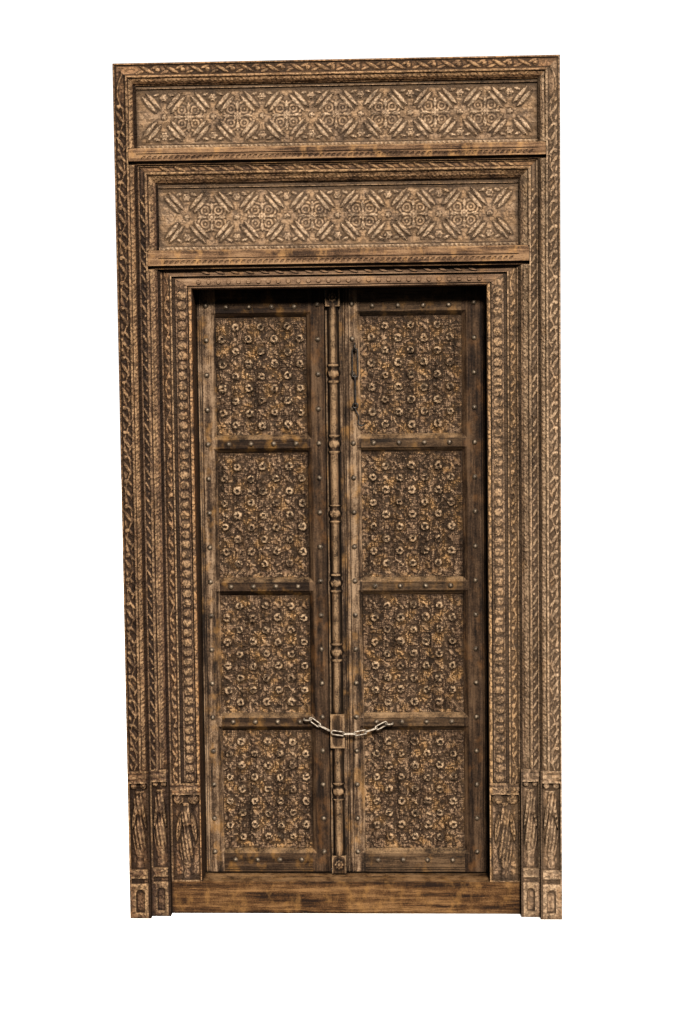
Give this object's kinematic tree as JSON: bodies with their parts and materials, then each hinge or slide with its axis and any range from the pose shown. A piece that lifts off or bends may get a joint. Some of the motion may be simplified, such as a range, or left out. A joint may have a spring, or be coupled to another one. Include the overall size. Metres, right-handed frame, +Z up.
{
  "type": "carved temple door",
  "caption": "Carved double-leaf timber door in a stepped, corded frame with two friezes, rosette panels, turned astragal, hasp and chain.",
  "frame": {"origin": "on the floor, at the middle of the footprint of the frame", "axes": "+X to the right seen from the front, -Y out of the carved front, +Z up"},
  "size_m": [1.19, 0.19, 2.33],
  "materials": {
    "frame_wood": "weathered hand-carved hardwood, dry and unvarnished",
    "frieze_wood": "weathered hand-carved hardwood, dry and unvarnished",
    "transom_wood": "weathered hand-carved hardwood, dry and unvarnished",
    "inner_wood": "weathered hand-carved hardwood, dry and unvarnished",
    "threshold_wood": "weathered hand-carved hardwood, dry and unvarnished",
    "stile_wood": "weathered hand-carved hardwood, dry and unvarnished",
    "rail_wood": "weathered hand-carved hardwood, dry and unvarnished",
    "panel_wood": "weathered hand-carved hardwood, dry and unvarnished",
    "astragal_wood": "weathered hand-carved hardwood, dry and unvarnished",
    "iron": "forged iron, worn dark with pale rubbed edges"
  },
  "bodies": {
    "frame": {"outer_jamb_left": "frame_wood", "outer_jamb_right": "frame_wood", "outer_head": "frame_wood", "upper_frieze": "frieze_wood", "upper_transom": "transom_wood", "middle_jamb_left": "frame_wood", "middle_jamb_right": "frame_wood", "middle_head": "frame_wood", "lower_frieze": "frieze_wood", "lower_transom": "transom_wood", "inner_jamb_left": "inner_wood", "inner_jamb_right": "inner_wood", "inner_head": "inner_wood", "threshold": "threshold_wood"},
    "left_leaf": {"left_hinge_stile": "stile_wood", "left_meeting_stile": "stile_wood", "left_bottom_rail": "rail_wood", "left_lower_rail": "rail_wood", "left_middle_rail": "rail_wood", "left_upper_rail": "rail_wood", "left_top_rail": "rail_wood", "left_panel_1": "panel_wood", "left_panel_2": "panel_wood", "left_panel_3": "panel_wood", "left_panel_4": "panel_wood", "left_nails": "iron", "chain_staple_left": "iron"},
    "right_leaf": {"right_hinge_stile": "stile_wood", "right_meeting_stile": "stile_wood", "right_bottom_rail": "rail_wood", "right_lower_rail": "rail_wood", "right_middle_rail": "rail_wood", "right_upper_rail": "rail_wood", "right_top_rail": "rail_wood", "right_panel_1": "panel_wood", "right_panel_2": "panel_wood", "right_panel_3": "panel_wood", "right_panel_4": "panel_wood", "right_nails": "iron", "astragal": "astragal_wood", "hasp_staple": "iron", "chain_staple_right": "iron"},
    "hasp_link": {"hasp_long_link": "iron"},
    "hasp_second": {"hasp_second_link": "iron"},
    "hasp_hook": {"hasp_hook": "iron"},
    "chain_left": {"chain_links_left": "iron"},
    "chain_right": {"chain_links_right": "iron"}
  },
  "joints": [
    {"name": "left_leaf_swing", "type": "hinge", "parent": "frame", "child": "left_leaf", "pos_m": [-0.371, 0.065, 0.9], "axis": [0, 0, 1], "range_deg": [0, 100]},
    {"name": "right_leaf_swing", "type": "hinge", "parent": "frame", "child": "right_leaf", "pos_m": [0.371, 0.065, 0.9], "axis": [0, 0, -1], "range_deg": [0, 100]},
    {"name": "hasp_swing", "type": "hinge", "parent": "right_leaf", "child": "hasp_link", "pos_m": [0.039, 0.034, 1.559], "axis": [0, -1, 0], "range_deg": [0, 120]},
    {"name": "hasp_second_swing", "type": "hinge", "parent": "hasp_link", "child": "hasp_second", "pos_m": [0.039, 0.034, 1.487], "axis": [-1, 0, 0], "range_deg": [0, 90]},
    {"name": "hasp_hook_swing", "type": "hinge", "parent": "hasp_second", "child": "hasp_hook", "pos_m": [0.039, 0.034, 1.409], "axis": [0, -1, 0], "range_deg": [-15, 60]},
    {"name": "chain_left_swing", "type": "hinge", "parent": "left_leaf", "child": "chain_left", "pos_m": [-0.095, 0.034, 0.531], "axis": [0, 1, 0], "range_deg": [0, 60]},
    {"name": "chain_right_swing", "type": "hinge", "parent": "right_leaf", "child": "chain_right", "pos_m": [0.113, 0.034, 0.519], "axis": [0, -1, 0], "range_deg": [0, 80]}
  ]
}
